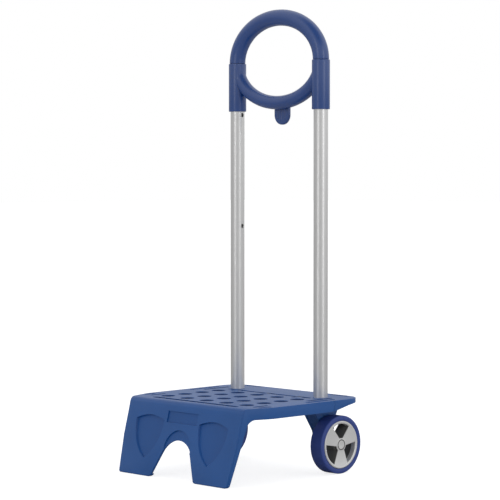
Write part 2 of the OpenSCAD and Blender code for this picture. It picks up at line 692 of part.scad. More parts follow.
module axle_washers() color(steel) for (s = [-1, 1]) on_side(s) difference() {
    x_rod(bracket_out, bracket_out + washer_t, 0, axle_z, axle_d / 2 + 4.5);
    x_rod(bracket_out - e, hub_in, 0, axle_z, axle_d / 2);
}

module axle_retainers() color(steel) for (s = [-1, 1]) on_side(s) difference() {
    x_rod(hub_out + 0.2, hub_out + 0.2 + retainer_t, 0, axle_z, retainer_d / 2);
    x_rod(hub_out - e, cap_seat + e, 0, axle_z, axle_d / 2);
}

rear_frame();
mast_tube(-1);  // mast_tube_left
mast_tube(1);  // mast_tube_right
ring_yoke();
tube_bush(-1);  // tube_bush_left
tube_bush(1);  // tube_bush_right
mast_bolts();
collar_screws();
hinge_pin();
stub_axle(-1);  // stub_axle_left
stub_axle(1);  // stub_axle_right
axle_washers();
axle_retainers();
lever_pin();
lever_spring();
deck();
grip();
inner_tube(-1);  // inner_tube_left
inner_tube(1);  // inner_tube_right
grip_rivets();
tube_guide(-1);  // tube_guide_left
tube_guide(1);  // tube_guide_right
guide_rivets();
snap_button(-1);  // snap_button_left
snap_button(1);  // snap_button_right
button_spring(-1);  // button_spring_left
button_spring(1);  // button_spring_right
strap_lever();
wheel_core(-1);  // wheel_core_left
wheel_core(1);  // wheel_core_right
tyre(-1);  // tyre_left
tyre(1);  // tyre_right
wheel_cap(-1);  // wheel_cap_left
wheel_cap(1);  // wheel_cap_right
wheel_bush(-1);  // wheel_bush_left
wheel_bush(1);  // wheel_bush_right
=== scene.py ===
# %% [markdown]
# # A school-bag trolley, piece by piece
# The frame is a finished mechanical model: it says where every tube, pin and wheel is, and how
# they move. This lesson gives that frame its looks. The moulded parts are modelled again with
# soft edges, and the tubes, pins and screws keep their exact shapes and get a better finish.

# %% Load the frame
import json
import math

import bpy
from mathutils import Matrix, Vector


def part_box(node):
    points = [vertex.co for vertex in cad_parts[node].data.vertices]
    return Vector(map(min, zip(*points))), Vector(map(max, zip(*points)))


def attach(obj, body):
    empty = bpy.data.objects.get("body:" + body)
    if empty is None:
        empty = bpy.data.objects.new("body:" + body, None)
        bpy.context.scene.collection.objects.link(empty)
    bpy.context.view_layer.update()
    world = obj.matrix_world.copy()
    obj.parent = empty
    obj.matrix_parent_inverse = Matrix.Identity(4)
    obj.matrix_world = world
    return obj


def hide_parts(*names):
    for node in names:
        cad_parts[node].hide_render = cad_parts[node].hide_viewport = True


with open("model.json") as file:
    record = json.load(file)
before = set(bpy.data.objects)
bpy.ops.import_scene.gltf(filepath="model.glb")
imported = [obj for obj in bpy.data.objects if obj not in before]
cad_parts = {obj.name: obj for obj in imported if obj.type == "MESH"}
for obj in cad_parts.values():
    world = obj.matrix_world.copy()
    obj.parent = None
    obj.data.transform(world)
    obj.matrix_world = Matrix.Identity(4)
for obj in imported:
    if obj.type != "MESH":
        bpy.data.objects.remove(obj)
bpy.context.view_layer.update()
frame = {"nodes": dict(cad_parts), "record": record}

# %% [markdown]
# ## Sizes
# Lengths here are in millimetres, because a maker thinks in them, and MM turns them into metres.
# Everything that the frame already knows is read from it, so a changed frame moves the looks too.

# %% Sizes from the frame
MM = 0.001
tube_low, tube_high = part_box("mast_tube_right")
MAST_X = (tube_low.x + tube_high.x) / 2 / MM
MAST_R = (tube_high.x - tube_low.x) / 2 / MM
RING_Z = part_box("ring_yoke")[1].z / MM
COLLAR_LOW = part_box("ring_yoke")[0].z / MM
DECK_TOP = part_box("deck")[1].z / MM
RAKE = 30.0                                         # the foot's lower edge is this far in front
FOOT_FRONT = -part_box("deck")[0].y / MM + 0.6        # its rounded lower corner hides 0.6 mm
REAR_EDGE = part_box("rear_frame")[1].y / MM
HALF_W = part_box("rear_frame")[1].x / MM
AXLE_Z = (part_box("tyre_right")[0].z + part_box("tyre_right")[1].z) / 2 / MM
TYRE_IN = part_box("tyre_right")[0].x / MM
TYRE_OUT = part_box("tyre_right")[1].x / MM
print("mast at x =", round(MAST_X, 1), "deck top at", round(DECK_TOP, 1), "wheel axis at", round(AXLE_Z, 1))

# %% [markdown]
# ## Small helpers
# A moulded part starts as a flat outline. A circle primitive with one vertex per corner is laid
# down, each vertex is put on its corner, and a vertex bevel rounds it. Extruding the outline then
# gives a prism. An operator works on whatever is selected, so everything is deselected first.

# %% Outlines and prisms
def deselect():
    """Nothing is selected, and the scene is in object mode."""
    if bpy.context.object and bpy.context.object.mode != "OBJECT":
        bpy.ops.object.mode_set(mode="OBJECT")
    bpy.ops.object.select_all(action="DESELECT")


def pick(obj):
    deselect()
    obj.select_set(True)
    bpy.context.view_layer.objects.active = obj


def outline(name, corners, plane="XY", level=0.0):
    """A filled outline through corners (u, v, rounding), in mm, in one of the three planes."""
    deselect()
    bpy.ops.mesh.primitive_circle_add(vertices=len(corners), radius=0.1, fill_type="NGON")
    obj = bpy.context.object
    obj.name = name
    place = {"XY": lambda u, v: (u, v, level), "XZ": lambda u, v: (u, level, v),
             "YZ": lambda u, v: (level, u, v)}[plane]
    for vertex, (u, v, _) in zip(obj.data.vertices, corners):
        vertex.co = Vector(place(u, v)) * MM
    for u, v, rounding in corners:
        if rounding > 0:
            round_corner(obj, Vector(place(u, v)) * MM, rounding)
    return obj


def round_corner(obj, spot, rounding, segments=7):
    """Rounds the one vertex at this spot of a flat outline."""
    pick(obj)
    bpy.ops.object.mode_set(mode="EDIT")
    bpy.ops.mesh.select_mode(type="VERT")
    bpy.ops.mesh.select_all(action="DESELECT")
    bpy.ops.object.mode_set(mode="OBJECT")
    nearest = min(obj.data.vertices, key=lambda v: (v.co - spot).length)
    nearest.select = True
    bpy.ops.object.mode_set(mode="EDIT")
    bpy.ops.mesh.bevel(offset=rounding * MM, segments=segments, affect="VERTICES", profile=0.5)
    bpy.ops.object.mode_set(mode="OBJECT")


def pull(obj, vector):
    """Extrudes a flat outline along a vector, in mm, into a closed prism."""
    pick(obj)
    bpy.ops.object.mode_set(mode="EDIT")
    bpy.ops.mesh.select_all(action="SELECT")
    bpy.ops.mesh.extrude_region_move(TRANSFORM_OT_translate={"value": Vector(vector) * MM})
    bpy.ops.mesh.select_all(action="SELECT")
    bpy.ops.mesh.normals_make_consistent(inside=False)
    bpy.ops.object.mode_set(mode="OBJECT")
    return obj


def prism(name, corners, plane, start, end):
    """A closed prism on an outline, from start to end along the plane's normal."""
    way = {"XY": (0, 0, 1), "XZ": (0, 1, 0), "YZ": (1, 0, 0)}[plane]
    return pull(outline(name, corners, plane, start), Vector(way) * (end - start))


print("helpers ready: outline, prism")

# %% [markdown]
# Two solids are joined, cut or trimmed with a Boolean modifier that is applied at once. The exact
# solver is slower than the fast one, but it copes with faces that lie in one plane.

# %% Joining, cutting and softening
def apply_modifier(obj, modifier):
    pick(obj)
    bpy.ops.object.modifier_apply(modifier=modifier.name)


def combine(obj, other, how):
    """how is UNION, DIFFERENCE or INTERSECT. The other object is used up."""
    modifier = obj.modifiers.new(how, "BOOLEAN")
    modifier.operation = how
    modifier.object = other
    modifier.solver = "EXACT"
    apply_modifier(obj, modifier)
    bpy.data.objects.remove(other, do_unlink=True)
    return obj


def soften(obj, width, angle=32, segments=2):
    """Rounds every edge that is sharper than the angle, as a mould does."""
    modifier = obj.modifiers.new("soften", "BEVEL")
    modifier.width = width * MM
    modifier.segments = segments
    modifier.limit_method = "ANGLE"
    modifier.angle_limit = math.radians(angle)
    modifier.miter_outer = "MITER_ARC"
    modifier.use_clamp_overlap = True
    apply_modifier(obj, modifier)
    return obj


def tidy(obj, near=0.01):
    """Merges doubled vertices and dissolves leftovers of the cuts."""
    pick(obj)
    bpy.ops.object.mode_set(mode="EDIT")
    bpy.ops.mesh.select_all(action="SELECT")
    bpy.ops.mesh.remove_doubles(threshold=near * MM)
    bpy.ops.mesh.dissolve_degenerate(threshold=near * MM)
    bpy.ops.object.mode_set(mode="OBJECT")
    return obj


def smooth(obj, angle=35):
    """Shades smooth, except across edges sharper than the angle."""
    pick(obj)
    bpy.ops.object.shade_smooth_by_angle(angle=math.radians(angle))
    return obj


def gather(objects, name):
    """Joins several objects into one, without merging their shapes."""
    deselect()
    for obj in objects:
        obj.select_set(True)
    bpy.context.view_layer.objects.active = objects[0]
    if len(objects) > 1:
        bpy.ops.object.join()
    objects[0].name = name
    return objects[0]


def rod(name, start, end, radius, sides=48, rim=0.0):
    """A round rod between two points in mm, along an axis, with rims rounded by rim."""
    start, end = Vector(start), Vector(end)
    way = (end - start).normalized()
    turn = {0: (0, math.pi / 2, 0), 1: (math.pi / 2, 0, 0), 2: (0, 0, 0)}[
        max(range(3), key=lambda i: abs(way[i]))]
    deselect()
    bpy.ops.mesh.primitive_cylinder_add(vertices=sides, radius=radius * MM,
        depth=(end - start).length * MM, location=(start + end) / 2 * MM, rotation=turn)
    obj = bpy.context.object
    obj.name = name
    bpy.ops.object.transform_apply(location=True, rotation=True, scale=True)
    if rim > 0:
        soften(obj, rim, angle=60, segments=3)
    return obj


def mirrored(obj, name):
    """The mirror image across the trolley's middle plane, with its own mesh."""
    deselect()
    obj.select_set(True)
    bpy.context.view_layer.objects.active = obj
    bpy.ops.object.duplicate()
    twin = bpy.context.object
    twin.name = name
    bpy.ops.transform.mirror(constraint_axis=(True, False, False), orient_type="GLOBAL")
    bpy.ops.object.transform_apply(location=True, rotation=True, scale=True)
    bpy.ops.object.mode_set(mode="EDIT")
    bpy.ops.mesh.select_all(action="SELECT")
    bpy.ops.mesh.normals_make_consistent(inside=False)
    bpy.ops.object.mode_set(mode="OBJECT")
    return twin


print("helpers ready: combine, soften, smooth, rod, mirrored")

# %% [markdown]
# ## The camera
# A long lens from the front right, a little above the middle of the mast, looking very slightly
# down. A long lens keeps the two tubes nearly parallel, as in a catalogue picture.

# %% Camera
EYE = Vector((2.178, -2.204, 0.457))
EYE_TURN = (math.radians(87.73), 0.0, math.radians(45.47))
LENS = 144.0
camera_data = bpy.data.cameras.new("camera")
camera_data.lens = LENS
camera_data.sensor_width = 36.0
camera = bpy.data.objects.new("camera", camera_data)
bpy.context.scene.collection.objects.link(camera)
camera.location = EYE
camera.rotation_euler = EYE_TURN
bpy.context.scene.camera = camera
print("camera", round((EYE - Vector((0, 0, 0.35))).length, 2), "m away")

# %% [markdown]
# ## Floor and light
# The studio is an even grey-white room, a little brighter overhead and on the right. Two narrow,
# tall soft boxes stand either side of the camera and give each tube its pair of bright stripes:
# without them a round tube in an even room would look flat. A dark flag overhead puts the deep
# blue glints on the hand ring, where its surface turns up towards the ceiling.

# %% Studio
def soft_box(name, place, target, size_x, size_y, power):
    data = bpy.data.lights.new(name, "AREA")
    data.shape = "RECTANGLE"
    data.size = size_x
    data.size_y = size_y
    data.energy = power
    light = bpy.data.objects.new(name, data)
    bpy.context.scene.collection.objects.link(light)
    light.location = place
    light.rotation_euler = (Vector(target) - Vector(place)).to_track_quat("-Z", "Y").to_euler()
    return light


def chain(nodes, links, kind, operation, first, second):
    """One Math or VectorMath node; a number is set on its socket, anything else is linked."""
    node = nodes.new(kind)
    node.operation = operation
    for socket, value in zip(node.inputs, (first, second)):
        if isinstance(value, (int, float, tuple)):
            socket.default_value = value
        else:
            links.new(value, socket)
    return node.outputs["Value"]


SIDE, ACROSS, LIFT = 0.71, 0.15, 0.36    # brightness of the room: even part, right side, overhead
world = bpy.data.worlds.new("studio")
bpy.context.scene.world = world
world.use_nodes = True
nodes, links = world.node_tree.nodes, world.node_tree.links
direction = nodes.new("ShaderNodeTexCoord").outputs["Generated"]
right = chain(nodes, links, "ShaderNodeVectorMath", "DOT_PRODUCT", direction, (0.71, 0.70, 0.0))
height = chain(nodes, links, "ShaderNodeVectorMath", "DOT_PRODUCT", direction, (0.0, 0.0, 1.0))
glow = chain(nodes, links, "ShaderNodeMath", "MULTIPLY", right, ACROSS)
lift = chain(nodes, links, "ShaderNodeMath", "MULTIPLY", height, LIFT)
uneven = chain(nodes, links, "ShaderNodeMath", "ADD", glow, lift)
room = chain(nodes, links, "ShaderNodeMath", "ADD", uneven, SIDE)
over = chain(nodes, links, "ShaderNodeVectorMath", "DOT_PRODUCT", direction, (0.33, -0.20, 0.92))
flag = nodes.new("ShaderNodeMapRange")
for socket, value in (("From Min", 0.72), ("From Max", 0.95), ("To Min", 0.0), ("To Max", -0.85)):
    flag.inputs[socket].default_value = value
links.new(over, flag.inputs["Value"])
room = chain(nodes, links, "ShaderNodeMath", "ADD", room, flag.outputs["Result"])
seen = nodes.new("ShaderNodeLightPath").outputs["Is Camera Ray"]
strength = chain(nodes, links, "ShaderNodeMath", "MAXIMUM", room, seen)
links.new(strength, nodes["Background"].inputs["Strength"])
nodes["Background"].inputs["Color"].default_value = (1, 1, 1, 1)

deselect()
bpy.ops.mesh.primitive_plane_add(size=40, location=(0, 0, 0))
floor = bpy.context.object
floor.name = "floor"
paper = bpy.data.materials.new("white_paper")
paper.use_nodes = True
nodes, links = paper.node_tree.nodes, paper.node_tree.links
shader = nodes["Principled BSDF"]
shader.inputs["Base Color"].default_value = (0.55, 0.55, 0.55, 1)
shader.inputs["Roughness"].default_value = 0.9
shader.inputs["Specular IOR Level"].default_value = 0.0
shader.inputs["Emission Color"].default_value = (1, 1, 1, 1)
links.new(chain(nodes, links, "ShaderNodeMath", "MULTIPLY",
                nodes.new("ShaderNodeLightPath").outputs["Is Camera Ray"], 0.78),
          shader.inputs["Emission Strength"])
floor.data.materials.append(paper)

soft_box("left_strip", (0.17, -2.39, 0.75), (0, 0, 0.42), 0.42, 1.9, 4.4)
soft_box("right_strip", (2.39, -0.17, 0.75), (0, 0, 0.42), 0.42, 1.9, 5)
bpy.context.scene.view_settings.view_transform = "Standard"
print("studio ready")

# %% [markdown]
# ## Finishes
# Each finish is a small network on Object coordinates, so a pattern sits still on its piece when
# the piece moves. Moulded polypropylene has a fine eroded texture and a little unevenness in its
# colour; the constants, such as the index of refraction, are set on the shader itself. Three
# tints are painted shade that helps small shapes to read: on the floors of the foot's recesses,
# on the walls of the platform's openings and in a ring round the cap's button. They are colour
# only and add no shape.

# %% A moulded plastic finish
def new_material(name):
    material = bpy.data.materials.new(name)
    material.use_nodes = True
    nodes = material.node_tree.nodes
    shader = nodes["Principled BSDF"]
    coords = nodes.new("ShaderNodeTexCoord")
    return material, nodes, material.node_tree.links, shader, coords


def noise(nodes, links, coords, scale, detail=3.0, stretch=(1, 1, 1)):
    """A noise texture on Object coordinates, stretched along an axis by a Mapping node."""
    mapping = nodes.new("ShaderNodeMapping")
    mapping.inputs["Scale"].default_value = stretch
    texture = nodes.new("ShaderNodeTexNoise")
    texture.inputs["Scale"].default_value = scale
    texture.inputs["Detail"].default_value = detail
    links.new(coords.outputs["Object"], mapping.inputs["Vector"])
    links.new(mapping.outputs["Vector"], texture.inputs["Vector"])
    return texture.outputs["Fac"]


def ramp(nodes, links, source, stops):
    """A colour ramp whose stops are (position, colour)."""
    node = nodes.new("ShaderNodeValToRGB")
    node.color_ramp.elements[0].position = stops[0][0]
    node.color_ramp.elements[0].color = (*stops[0][1], 1)
    node.color_ramp.elements[1].position = stops[1][0]
    node.color_ramp.elements[1].color = (*stops[1][1], 1)
    links.new(source, node.inputs["Fac"])
    return node.outputs["Color"]


def span(nodes, links, source, low, high):
    """The source, 0 to 1, moved to the range low to high."""
    node = nodes.new("ShaderNodeMapRange")
    node.inputs["To Min"].default_value = low
    node.inputs["To Max"].default_value = high
    links.new(source, node.inputs["Value"])
    return node.outputs["Result"]


def bump(nodes, links, shader, source, strength, distance):
    node = nodes.new("ShaderNodeBump")
    node.inputs["Strength"].default_value = strength
    node.inputs["Distance"].default_value = distance
    links.new(source, node.inputs["Height"])
    links.new(node.outputs["Normal"], shader.inputs["Normal"])


def moulded(name, colour, rough=0.42, grain=2600, depth=0.00003, level=0.45, mottle=0.06):
    """Textured injection-moulded plastic of one colour."""
    material, nodes, links, shader, coords = new_material(name)
    cloud = noise(nodes, links, coords, 14, 4)
    darker = [c * (1 - mottle) for c in colour]
    lighter = [min(1, c * (1 + mottle)) for c in colour]
    links.new(ramp(nodes, links, cloud, [(0.3, darker), (0.7, lighter)]),
              shader.inputs["Base Color"])
    fine = noise(nodes, links, coords, grain, 2)
    links.new(span(nodes, links, fine, rough - 0.06, rough + 0.08), shader.inputs["Roughness"])
    shader.inputs["Specular IOR Level"].default_value = level
    shader.inputs["IOR"].default_value = 1.49
    bump(nodes, links, shader, fine, 0.35, depth)
    return material


def tint_where(nodes, links, shader, inside, tint, blend="MULTIPLY"):
    """Changes the base colour by the tint wherever inside is 1."""
    factor_socket, base_socket, tint_socket, result_socket = 0, 6, 7, 2
    mix = nodes.new("ShaderNodeMix")
    mix.data_type = "RGBA"
    mix.blend_type = blend
    mix.inputs[tint_socket].default_value = (*tint, 1)
    links.new(inside, mix.inputs[factor_socket])
    links.new(shader.inputs["Base Color"].links[0].from_socket, mix.inputs[base_socket])
    links.new(mix.outputs[result_socket], shader.inputs["Base Color"])


def paint_recess_shade(material, shallow, deep, tint):
    """Paints shade, with a shift towards teal, on the faces that lie between two depths (mm) behind the
    foot's front.
    """
    nodes, links = material.node_tree.nodes, material.node_tree.links
    spot = nodes.new("ShaderNodeTexCoord").outputs["Object"]
    along = chain(nodes, links, "ShaderNodeVectorMath", "DOT_PRODUCT", spot, (0, 1, -RAKE / DECK_TOP))
    behind = chain(nodes, links, "ShaderNodeMath", "ADD", along, FOOT_FRONT * MM)
    low = chain(nodes, links, "ShaderNodeMath", "GREATER_THAN", behind, shallow * MM)
    high = chain(nodes, links, "ShaderNodeMath", "LESS_THAN", behind, deep * MM)
    inside = chain(nodes, links, "ShaderNodeMath", "MULTIPLY", low, high)
    tint_where(nodes, links, nodes["Principled BSDF"], inside, tint)


def shade_openings(material, tint):
    """Paints shade on the walls of the platform's holes and slots, to make the openings read clearly."""
    half_width, front, plate, lip = 118.0, 187.0, 3.9, 0.6
    nodes, links = material.node_tree.nodes, material.node_tree.links
    parts = nodes.new("ShaderNodeSeparateXYZ")
    links.new(nodes.new("ShaderNodeTexCoord").outputs["Object"], parts.inputs["Vector"])
    across = chain(nodes, links, "ShaderNodeMath", "ABSOLUTE", parts.outputs["X"], 0.0)
    tests = [("LESS_THAN", across, half_width),
             ("GREATER_THAN", parts.outputs["Y"], -front),
             ("GREATER_THAN", parts.outputs["Z"], DECK_TOP - plate),
             ("LESS_THAN", parts.outputs["Z"], DECK_TOP - lip),
             ("LESS_THAN", parts.outputs["Y"], REAR_EDGE - 3)]
    inside = 1.0
    for how, value, limit in tests:
        test = chain(nodes, links, "ShaderNodeMath", how, value, limit * MM)
        inside = chain(nodes, links, "ShaderNodeMath", "MULTIPLY", test, inside)
    tint_where(nodes, links, nodes["Principled BSDF"], inside, tint)


TEAL_SHADE_TINT, OPENING_SHADE_TINT = (0.45, 0.86, 0.92), (0.30, 0.42, 0.50)
platform_blue = moulded("platform_blue", (0.011, 0.097, 0.350), rough=0.44, level=0.5)
# Painted shade, with a shift towards teal, on the floors of the foot's recesses.
paint_recess_shade(platform_blue, 1.0, 3.9, TEAL_SHADE_TINT)
# Painted shade on the walls of the platform's holes and slots.
shade_openings(platform_blue, OPENING_SHADE_TINT)
ring_plastic = moulded("ring_plastic", (0.015, 0.066, 0.270), rough=0.29, grain=3200, level=0.85)
core_grey = moulded("core_grey", (0.120, 0.120, 0.116), rough=0.5)
guide_grey = moulded("guide_grey", (0.16, 0.16, 0.17), rough=0.5)
bush_white = moulded("bush_white", (0.70, 0.70, 0.67), rough=0.35)
print("moulded finishes:", 5)

# %% [markdown]
# Anodised tube is drawn lengthwise, so its scratches run along it: the noise is stretched many
# times along Z. Silver paint on the wheel caps has tiny flakes, and zinc-plated steel is cloudy.

# %% Metals, silver paint and rubber
def drawn_aluminium():
    material, nodes, links, shader, coords = new_material("drawn_aluminium")
    lines = noise(nodes, links, coords, 900, 3, (1, 1, 0.01))
    links.new(ramp(nodes, links, lines, [(0.3, (0.71, 0.71, 0.71)), (0.7, (0.75, 0.75, 0.75))]),
              shader.inputs["Base Color"])
    links.new(span(nodes, links, lines, 0.35, 0.40), shader.inputs["Roughness"])
    shader.inputs["Metallic"].default_value = 1.0
    bump(nodes, links, shader, lines, 0.02, 0.00001)
    return material


# The dark ring round the cap's button is painted shade over its groove.
GAP_SHADE_IN, GAP_SHADE_OUT = 6.6, 8.1            # radii of the dark ring round the cap's button


def silver_paint():
    material, nodes, links, shader, coords = new_material("silver_paint")
    flakes = noise(nodes, links, coords, 5200, 1)
    links.new(ramp(nodes, links, flakes, [(0.35, (0.72, 0.72, 0.72)), (0.65, (0.80, 0.80, 0.80))]),
              shader.inputs["Base Color"])
    links.new(span(nodes, links, flakes, 0.30, 0.42), shader.inputs["Roughness"])
    shader.inputs["Metallic"].default_value = 0.4
    # Painted shade: the silver is mixed to near black in a ring round the button, over its groove.
    parts = nodes.new("ShaderNodeSeparateXYZ")
    links.new(coords.outputs["Object"], parts.inputs["Vector"])
    high = chain(nodes, links, "ShaderNodeMath", "SUBTRACT", parts.outputs["Z"], AXLE_Z * MM)
    radius = chain(nodes, links, "ShaderNodeMath", "SQRT", chain(nodes, links, "ShaderNodeMath", "ADD",
        chain(nodes, links, "ShaderNodeMath", "MULTIPLY", high, high),
        chain(nodes, links, "ShaderNodeMath", "MULTIPLY", parts.outputs["Y"], parts.outputs["Y"])), 0.0)
    gap_shade = chain(nodes, links, "ShaderNodeMath", "MULTIPLY",
                chain(nodes, links, "ShaderNodeMath", "GREATER_THAN", radius, GAP_SHADE_IN * MM),
                chain(nodes, links, "ShaderNodeMath", "LESS_THAN", radius, GAP_SHADE_OUT * MM))
    tint_where(nodes, links, shader, gap_shade, (0.10, 0.10, 0.10), "MIX")
    shader.inputs["Coat Weight"].default_value = 0.3
    shader.inputs["Coat Roughness"].default_value = 0.15
    bump(nodes, links, shader, flakes, 0.1, 0.00001)
    return material


def zinc_steel():
    material, nodes, links, shader, coords = new_material("zinc_steel")
    cloud = noise(nodes, links, coords, 260, 4)
    links.new(ramp(nodes, links, cloud, [(0.3, (0.42, 0.42, 0.43)), (0.7, (0.58, 0.58, 0.57))]),
              shader.inputs["Base Color"])
    links.new(span(nodes, links, cloud, 0.25, 0.45), shader.inputs["Roughness"])
    shader.inputs["Metallic"].default_value = 1.0
    bump(nodes, links, shader, cloud, 0.1, 0.00002)
    return material


def tyre_rubber():
    material, nodes, links, shader, coords = new_material("tyre_rubber")
    cloud = noise(nodes, links, coords, 30, 4)
    links.new(ramp(nodes, links, cloud, [(0.3, (0.034, 0.066, 0.280)), (0.7, (0.040, 0.076, 0.310))]),
              shader.inputs["Base Color"])
    fine = noise(nodes, links, coords, 1900, 3)
    links.new(span(nodes, links, fine, 0.42, 0.58), shader.inputs["Roughness"])
    shader.inputs["Specular IOR Level"].default_value = 0.4
    bump(nodes, links, shader, fine, 0.4, 0.00004)
    return material


aluminium = drawn_aluminium()
silver = silver_paint()
steel = zinc_steel()
rubber = tyre_rubber()
print("metal and rubber finishes:", 4)


# %% Hand a finished piece to the frame
def hand_over(piece, body, slot, material, *nodes):
    """The piece gets its finish, rides on its body and stands for these CAD nodes."""
    piece.data.materials.clear()
    piece.data.materials.append(material)
    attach(piece, body)
    if nodes:
        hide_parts(*nodes)
    triangles = sum(len(p.vertices) - 2 for p in piece.data.polygons)
    print(piece.name, "on", body, "with", triangles, "triangles")


# %% [markdown]
# ## The platform and its foot
# One moulding carries the bag: a perforated plate with a skirt, and in front a raked foot with an
# arched cut-out. Its outer form is what three outlines have in common: the plan, the side view
# and the front view. The same three outlines, moved in by the wall, give the hollow under it,
# but without the arch: the wall round the cut-out is then only as deep as the front is thick.

# %% Driving sizes of the platform
SKIRT = 16.5
WALL = 4.0
FRONT_HALF = 122.0
KINK_HALF = 137.0
FOOT_HALF = 117.0
FRONT_EDGE = FOOT_FRONT - RAKE
KINK_Y = -FRONT_EDGE + 46
SKIRT_LOW = DECK_TOP - SKIRT
REAR_RISE = 9.0
REAR_ROUND = 31.0
SEAM_Y = -21.0
HINGE_DROP = 5.0
HINGE_Y, HINGE_Z = SEAM_Y - HINGE_DROP, DECK_TOP - HINGE_DROP
FLANGE, FLANGE_LOW = 14.0, 7.5
CUT_HALF = 48.0
CUT_TOP = 57.0
CUT_R = 34.0
LEAN = RAKE / DECK_TOP
print("front edge at y =", round(-FRONT_EDGE, 1), "skirt bottom at z =", round(SKIRT_LOW, 1))


# %% The three outlines
def plan_corners(wall=0.0, front=None):
    """Plan of the whole platform, moved in by wall; the front line can be moved forward."""
    front = -FRONT_EDGE + wall if front is None else front
    fx, kx, rx = FRONT_HALF - wall, KINK_HALF - wall, HALF_W - wall
    return [(-fx, front, 0), (fx, front, 0), (fx, -FRONT_EDGE, 6), (kx, KINK_Y, 8),
            (rx, REAR_EDGE - wall, REAR_ROUND - wall), (-rx, REAR_EDGE - wall, REAR_ROUND - wall),
            (-kx, KINK_Y, 8), (-fx, -FRONT_EDGE, 6)]


def side_corners(wall=0.0):
    """Side view of deck and foot. The hollow's side view has no lower edge of its own."""
    top = DECK_TOP - wall
    front = -FRONT_EDGE + wall * 1.03
    if wall:
        return [(SEAM_Y - 13, top, 0), (front, top, 2), (front - RAKE + LEAN * wall, wall, 2),
                (SEAM_Y - 60, wall - 20, 0), (SEAM_Y - 13, wall - 20, 0)]
    return [(REAR_EDGE + 5, top, 0), (front, top, 7), (front - RAKE, 0, 2), (front - RAKE + FLANGE_LOW, 0, 2),
            (front + FLANGE - LEAN * SKIRT, SKIRT_LOW, 10), (SEAM_Y, SKIRT_LOW, 12),
            (18, SKIRT_LOW + REAR_RISE, 10), (REAR_EDGE + 5, SKIRT_LOW + REAR_RISE + 1, 0)]


def arch_points(radius, centre_z, phi, steps=14):
    """The cut-out's round top, from its right springing to its left one."""
    return [(radius * math.cos(phi + (math.pi - 2 * phi) * i / steps),
             centre_z + radius * math.sin(phi + (math.pi - 2 * phi) * i / steps), 0)
            for i in range(steps + 1)]


def front_corners(wall=0.0):
    """Front view: legs that taper a little and room for the skirt above. Only the outer form has
    the arch, so the wall round the cut-out is no deeper than the front is thick."""
    outer = FOOT_HALF - wall
    soft = 1.5 if wall else 4
    high = DECK_TOP + 5
    legs = [(outer, wall, soft), (125 - wall, SKIRT_LOW - 6, 0), (150, SKIRT_LOW - 6, 0), (150, high, 0),
            (-150, high, 0), (-150, SKIRT_LOW - 6, 0), (wall - 125, SKIRT_LOW - 6, 0), (-outer, wall, soft)]
    if wall:
        return legs
    centre_z = CUT_TOP - CUT_R
    phi = math.acos(CUT_R / math.hypot(CUT_HALF, centre_z)) - math.atan2(centre_z, CUT_HALF)
    inner = (CUT_R + math.sin(phi) * centre_z) / math.cos(phi)
    return (legs + [(-inner, 0, soft)] + [(-u, v, r) for u, v, r in arch_points(CUT_R, centre_z, phi)]
            + [(inner, 0, soft)])


def common_form(name, wall=0.0):
    """What the three outlines have in common."""
    form = prism(name, plan_corners(wall, -FOOT_FRONT - 20), "XY", -30, DECK_TOP + 10)
    form = combine(form, prism("side", side_corners(wall), "YZ", -160, 160), "INTERSECT")
    return combine(form, prism("front", front_corners(wall), "XZ", -FOOT_FRONT - 30, 60), "INTERSECT")


whole = common_form("whole_deck")
tidy(whole)
soften(whole, 1.6, angle=38, segments=3)
print("outer form:", len(whole.data.polygons), "faces")

# %% [markdown]
# The bevel runs round the whole deck before it is parted at the fold, so the fold stays a
# hairline. The platform's rear edge is round about the hinge axis, and the rear bed has a hollow
# of nearly the same radius, which lets the platform swing up past it.

# %% Part the deck at the fold
def seam_side(name, offset, radius, far):
    """A block on one side of the fold, whose near face is round about the hinge axis."""
    half = math.acos((HINGE_DROP + offset) / radius)
    bow = [(HINGE_Y + radius * math.cos(t), HINGE_Z + radius * math.sin(t), 0)
           for t in [half * (i / 5 - 1) for i in range(11)]]
    view = [(far, -30, 0), (SEAM_Y + offset, -30, 0)] + bow + [(SEAM_Y + offset, 150, 0), (far, 150, 0)]
    return prism(name, view, "YZ", -170, 170)


pick(whole)
bpy.ops.object.duplicate()
rear_bed = bpy.context.object
rear_bed.name = "rear_bed"
platform = whole
platform.name = "platform"
combine(platform, seam_side("front_side", 0.0, 6.97, -300), "INTERSECT")
combine(rear_bed, seam_side("rear_side", 0.4, 7.37, 120), "INTERSECT")
print("platform", len(platform.data.polygons), "faces, rear bed", len(rear_bed.data.polygons), "faces")

# %% [markdown]
# The hollow under the platform comes from the same three outlines, moved in by the wall. A solid
# hinge beam stays behind at the rear, and ribs go between the rows of holes.

# %% Hollow and ribs
combine(platform, common_form("hollow", WALL), "DIFFERENCE")


def slab(name, low, high):
    """A plain block between two corners, in mm, used for ribs and cuts."""
    return prism(name, [(low[0], low[1], 0), (high[0], low[1], 0), (high[0], high[1], 0),
                        (low[0], high[1], 0)], "XY", low[2], high[2])


HOLE_DX, HOLE_DY, HOLE_Y0, HOLE_R = 43.0, 35.5, -46.0, 11.0
hole_rows = [HOLE_Y0 - j * HOLE_DY for j in range(4)]
hole_columns = [i * HOLE_DX for i in range(-2, 3)]
rib_low, rib_high = SKIRT_LOW + 2, DECK_TOP - 1.5
ribs = [slab("rib", (x + HOLE_DX / 2 - 1.2, -FRONT_EDGE + 3, rib_low),
             (x + HOLE_DX / 2 + 1.2, SEAM_Y - 12, rib_high)) for x in hole_columns[:-1]]
for y in hole_rows:
    ribs.append(slab("rib", (-FRONT_HALF + 3, y - HOLE_DY / 2 - 1.1, rib_low + 0.4),
                     (FRONT_HALF - 3, y - HOLE_DY / 2 + 1.3, rib_high + 0.3)))
for rib in ribs:
    combine(platform, rib, "UNION")
print("ribs:", len(ribs))

# %% [markdown]
# The upper face has twenty round drain holes on a grid, long slots across the front and along
# the fold, and short grip slots at the sides. Each drill is a little wider at the surface, so
# that the rim of its hole is broken like a moulded one. The slots have round ends.

